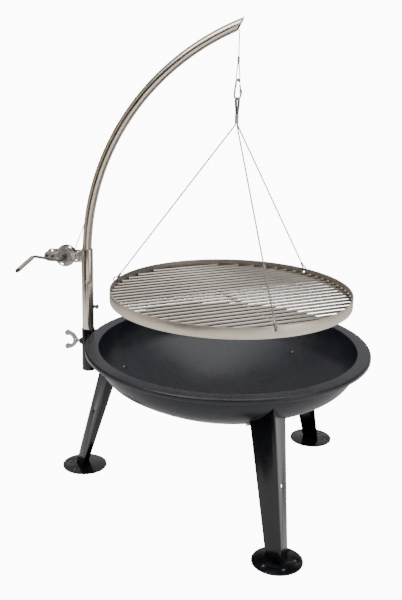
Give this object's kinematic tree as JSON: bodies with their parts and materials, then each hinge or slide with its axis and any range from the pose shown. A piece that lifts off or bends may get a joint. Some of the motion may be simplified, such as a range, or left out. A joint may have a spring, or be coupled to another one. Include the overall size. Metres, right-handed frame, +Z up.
{
  "type": "fire pit with grate",
  "caption": "Round steel fire bowl on three splayed legs, with a turning gallows arm, a hand winch and a round grate hung from a wire rope",
  "frame": {"origin": "middle of the whole part's box, on the floor under it", "axes": "+Z up; the arm at rest lies along +X from the post at -X to the bowl's middle; +Y completes the right hand"},
  "size_m": [0.952, 0.8778, 1.3168],
  "materials": {
    "bowl_lacquer": "satin",
    "leg_lacquer": "gloss",
    "polished_steel": "polished",
    "brushed_steel": "satin",
    "dark_steel": "satin",
    "zinc": "satin",
    "cast_zinc": "satin",
    "wire_rope": "satin",
    "ferrule": "satin",
    "grip_tube": "satin"
  },
  "bodies": {
    "stand": {"fire_bowl": "bowl_lacquer", "leg_1": "leg_lacquer", "leg_2": "leg_lacquer", "leg_3": "leg_lacquer", "foot_plate_1": "leg_lacquer", "foot_plate_2": "leg_lacquer", "foot_plate_3": "leg_lacquer", "foot_screws": "dark_steel", "leg_bolts": "dark_steel", "leg_washers": "zinc", "leg_nuts": "zinc", "post_sleeve": "leg_lacquer", "sleeve_bracket": "leg_lacquer", "clamp_nut": "leg_lacquer"},
    "clamp_screw": {"wing_screw": "cast_zinc"},
    "arm": {"lower_post": "polished_steel", "gallows_arm": "polished_steel", "arm_screw": "polished_steel", "tool_peg": "dark_steel", "winch_saddle": "polished_steel", "winch_bracket": "polished_steel", "bracket_screws": "zinc", "tie_bolts": "dark_steel", "tie_spacers": "zinc", "hoist_rope": "wire_rope"},
    "crank": {"crank_rod": "dark_steel", "winch_drum": "polished_steel", "ratchet_wheel": "dark_steel", "axle_nuts": "dark_steel", "drum_rope": "wire_rope", "grip_cap": "dark_steel"},
    "grip": {"crank_grip": "grip_tube"},
    "pawl": {"ratchet_pawl": "dark_steel"},
    "hoist": {"rope_drop": "wire_rope"},
    "rope_end": {"hoist_ferrule": "ferrule", "rope_eye": "wire_rope"},
    "grate": {"snap_hook": "zinc", "gate_rivet": "zinc", "hanger_eyes": "wire_rope", "hanger_crimp": "ferrule", "hanger_wire_1": "wire_rope", "hanger_wire_2": "wire_rope", "hanger_wire_3": "wire_rope", "wire_ferrules": "ferrule", "wire_eyes": "wire_rope", "grate_ring": "brushed_steel", "grate_rods": "brushed_steel", "grate_cross_bar": "brushed_steel"},
    "gate": {"snap_hook_gate": "zinc"}
  },
  "joints": [
    {"name": "arm_swing", "type": "hinge", "parent": "stand", "child": "arm", "pos_m": [-0.34502, -0.00902, 0.3705], "axis": [0, 0, 1], "continuous": true},
    {"name": "clamp_turn", "type": "hinge", "parent": "stand", "child": "clamp_screw", "pos_m": [-0.37502, -0.00902, 0.393], "axis": [1, 0, 0], "range_deg": [-360, 360]},
    {"name": "hoist_lift", "type": "slide", "parent": "arm", "child": "hoist", "axis": [0, 0, 1], "range_m": [-0.105, 0.055], "deforming": ["rope_drop"]},
    {"name": "crank_turn", "type": "hinge", "parent": "arm", "child": "crank", "pos_m": [-0.40617, -0.01926, 0.651], "axis": [0.165, -0.9863, 0], "range_deg": [-187, 352]},
    {"name": "grip_spin", "type": "hinge", "parent": "crank", "child": "grip", "pos_m": [-0.4595, -0.17013, 0.65983], "axis": [0.165, -0.9863, 0], "continuous": true},
    {"name": "pawl_lift", "type": "hinge", "parent": "arm", "child": "pawl", "pos_m": [-0.43762, -0.04338, 0.651], "axis": [0.165, -0.9863, 0], "range_deg": [0, 25]},
    {"name": "grate_turn", "type": "hinge", "parent": "hoist", "child": "rope_end", "pos_m": [0.08098, -0.00902, 1.2], "axis": [0, 0, 1], "continuous": true},
    {"name": "grate_swing", "type": "hinge", "parent": "rope_end", "child": "grate", "pos_m": [0.08098, -0.00902, 1.157], "axis": [0.848, -0.5299, 0], "range_deg": [-4, 4]},
    {"name": "gate_open", "type": "hinge", "parent": "grate", "child": "gate", "pos_m": [0.08734, 0.00115, 1.128], "axis": [0.848, -0.5299, 0], "range_deg": [0, 20], "stiffness_Nm_per_rad": 0.02, "springref_deg": -17.19}
  ],
  "couplings": [
    {"joint": "crank_turn", "follows": "hoist_lift", "rad_per_m": -57.471}
  ]
}
